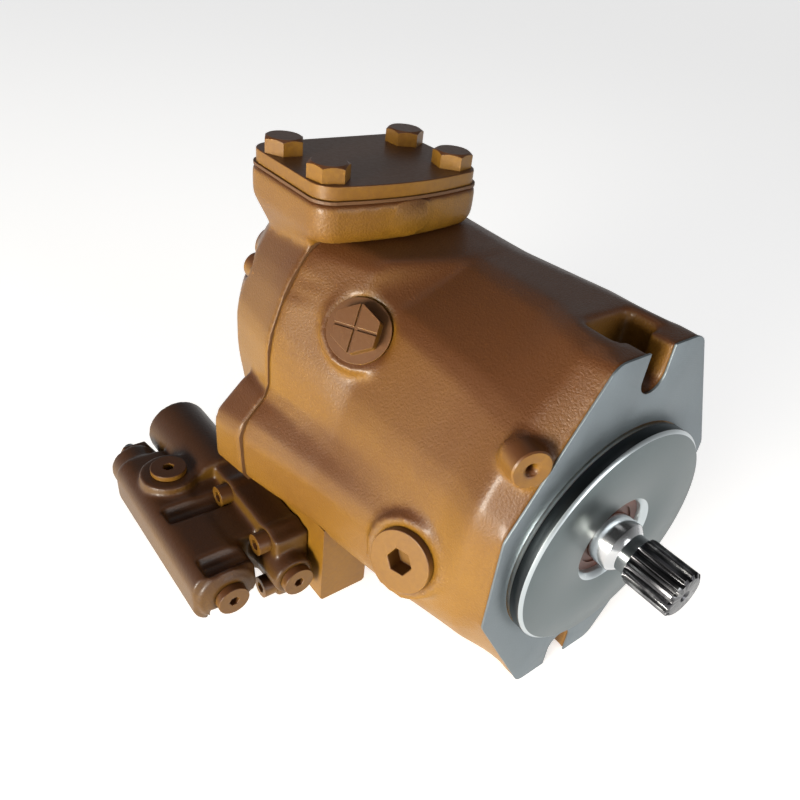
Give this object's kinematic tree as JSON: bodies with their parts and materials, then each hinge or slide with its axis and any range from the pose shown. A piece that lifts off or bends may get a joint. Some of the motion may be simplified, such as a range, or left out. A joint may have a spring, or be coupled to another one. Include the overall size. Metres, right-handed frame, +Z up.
{
  "type": "axial piston pump",
  "caption": "Swash-plate axial piston pump with a two-bolt flange, splined shaft, covered suction pad on top and a bolted control valve on its side.",
  "frame": {"origin": "where the shaft axis meets the front face of the mounting flange", "axes": "-Y along the shaft towards its splined end, +Z up towards the suction pad, +X to the right seen from the shaft end"},
  "size_m": [0.251, 0.336, 0.2415],
  "materials": {
    "ochre_paint": "gloss enamel over rough casting",
    "machined_steel": "machined",
    "spring_steel": "drawn wire",
    "bearing_bronze": "lapped",
    "seal_rubber": "matte",
    "gasket": "matte"
  },
  "bodies": {
    "case": {"adapter_block": "ochre_paint", "adjuster_locknuts": "ochre_paint", "bias_spring": "spring_steel", "cradle_bearing_lower": "bearing_bronze", "cradle_bearing_upper": "bearing_bronze", "drain_plug": "ochre_paint", "flow_spring": "spring_steel", "front_bearing_cup": "machined_steel", "housing": "ochre_paint", "port_block": "ochre_paint", "port_block_gasket": "gasket", "port_block_screws": "ochre_paint", "pressure_spring": "spring_steel", "rear_bearing_shell": "machined_steel", "rear_plug": "ochre_paint", "shaft_seal": "seal_rubber", "suction_cover": "ochre_paint", "suction_cover_bolts": "ochre_paint", "suction_cover_gasket": "gasket", "valve_body": "ochre_paint", "valve_end_caps": "ochre_paint", "valve_front_plugs": "ochre_paint", "valve_plate": "bearing_bronze", "valve_screws": "ochre_paint", "valve_top_plug": "ochre_paint", "vent_plug": "ochre_paint"},
    "rotor": {"drive_shaft": "machined_steel", "front_bearing_cone": "machined_steel", "cylinder_block": "machined_steel", "ball_guide": "machined_steel"},
    "front_roller_set": {"front_bearing_rollers": "machined_steel"},
    "rear_needle_set": {"rear_bearing_needles": "machined_steel"},
    "swash": {"swash_plate": "machined_steel"},
    "slipper_ring": {"retainer_plate": "machined_steel", "slipper_1": "bearing_bronze", "slipper_2": "bearing_bronze", "slipper_3": "bearing_bronze", "slipper_4": "bearing_bronze", "slipper_5": "bearing_bronze", "slipper_6": "bearing_bronze", "slipper_7": "bearing_bronze", "slipper_8": "bearing_bronze", "slipper_9": "bearing_bronze"},
    "piston_set": {"piston_1": "machined_steel", "piston_2": "machined_steel", "piston_3": "machined_steel", "piston_4": "machined_steel", "piston_5": "machined_steel", "piston_6": "machined_steel", "piston_7": "machined_steel", "piston_8": "machined_steel", "piston_9": "machined_steel"},
    "stroking": {"stroking_piston": "machined_steel"},
    "bias": {"bias_piston": "machined_steel"},
    "pressure_spool_body": {"pressure_spool": "machined_steel"},
    "flow_spool_body": {"flow_spool": "machined_steel"},
    "pressure_screw": {"pressure_adjuster": "machined_steel"},
    "flow_screw": {"flow_adjuster": "machined_steel"},
    "pressure_plate_body": {"pressure_spring_plate": "machined_steel"},
    "flow_plate_body": {"flow_spring_plate": "machined_steel"}
  },
  "joints": [
    {"name": "shaft_spin", "type": "hinge", "parent": "case", "child": "rotor", "pos_m": [0, 0, 0], "axis": [0, 1, 0], "continuous": true},
    {"name": "front_rollers_orbit", "type": "hinge", "parent": "case", "child": "front_roller_set", "pos_m": [0, 0, 0], "axis": [0, 1, 0], "continuous": true},
    {"name": "rear_needles_orbit", "type": "hinge", "parent": "case", "child": "rear_needle_set", "pos_m": [0, 0, 0], "axis": [0, 1, 0], "continuous": true},
    {"name": "swash_tilt", "type": "hinge", "parent": "case", "child": "swash", "pos_m": [0, 0.084, 0], "axis": [0, 0, -1], "range_deg": [0, 15]},
    {"name": "slipper_ring_spin", "type": "hinge", "parent": "swash", "child": "slipper_ring", "pos_m": [0, 0.084, 0], "axis": [0, 1, 0], "continuous": true},
    {"name": "pistons_draw", "type": "slide", "parent": "rotor", "child": "piston_set", "axis": [0, 1, 0], "range_m": [0, 0.0171]},
    {"name": "stroking_slide", "type": "slide", "parent": "case", "child": "stroking", "axis": [0, 1, 0], "range_m": [0, 0.0199]},
    {"name": "bias_slide", "type": "slide", "parent": "case", "child": "bias", "axis": [0, -1, 0], "range_m": [0, 0.0184], "deforming": ["bias_spring"]},
    {"name": "pressure_spool_slide", "type": "slide", "parent": "case", "child": "pressure_spool_body", "axis": [0, 1, 0], "range_m": [0, 0.003], "deforming": ["pressure_spring"]},
    {"name": "flow_spool_slide", "type": "slide", "parent": "case", "child": "flow_spool_body", "axis": [0, 1, 0], "range_m": [0, 0.003], "deforming": ["flow_spring"]},
    {"name": "pressure_adjuster_turn", "type": "hinge", "parent": "case", "child": "pressure_screw", "pos_m": [-0.144, 0.25, -0.078], "axis": [0, -1, 0], "range_deg": [0, 360]},
    {"name": "flow_adjuster_turn", "type": "hinge", "parent": "case", "child": "flow_screw", "pos_m": [-0.109, 0.26, -0.075], "axis": [0, -1, 0], "range_deg": [0, 360]},
    {"name": "pressure_plate_slide", "type": "slide", "parent": "case", "child": "pressure_plate_body", "axis": [0, -1, 0], "range_m": [0, 0.0013]},
    {"name": "flow_plate_slide", "type": "slide", "parent": "case", "child": "flow_plate_body", "axis": [0, -1, 0], "range_m": [0, 0.0013]}
  ],
  "couplings": [
    {"joint": "front_rollers_orbit", "follows": "shaft_spin", "ratio": 0.42},
    {"joint": "rear_needles_orbit", "follows": "shaft_spin", "ratio": 0.45},
    {"joint": "slipper_ring_spin", "follows": "shaft_spin", "ratio": 1},
    {"joint": "pistons_draw", "follows": "swash_tilt", "m_per_rad": 0.064935},
    {"joint": "stroking_slide", "follows": "swash_tilt", "m_per_rad": 0.0756},
    {"joint": "bias_slide", "follows": "swash_tilt", "m_per_rad": 0.0699},
    {"joint": "pressure_plate_slide", "follows": "pressure_adjuster_turn", "m_per_rad": 0.00019894},
    {"joint": "flow_plate_slide", "follows": "flow_adjuster_turn", "m_per_rad": 0.00019894}
  ]
}
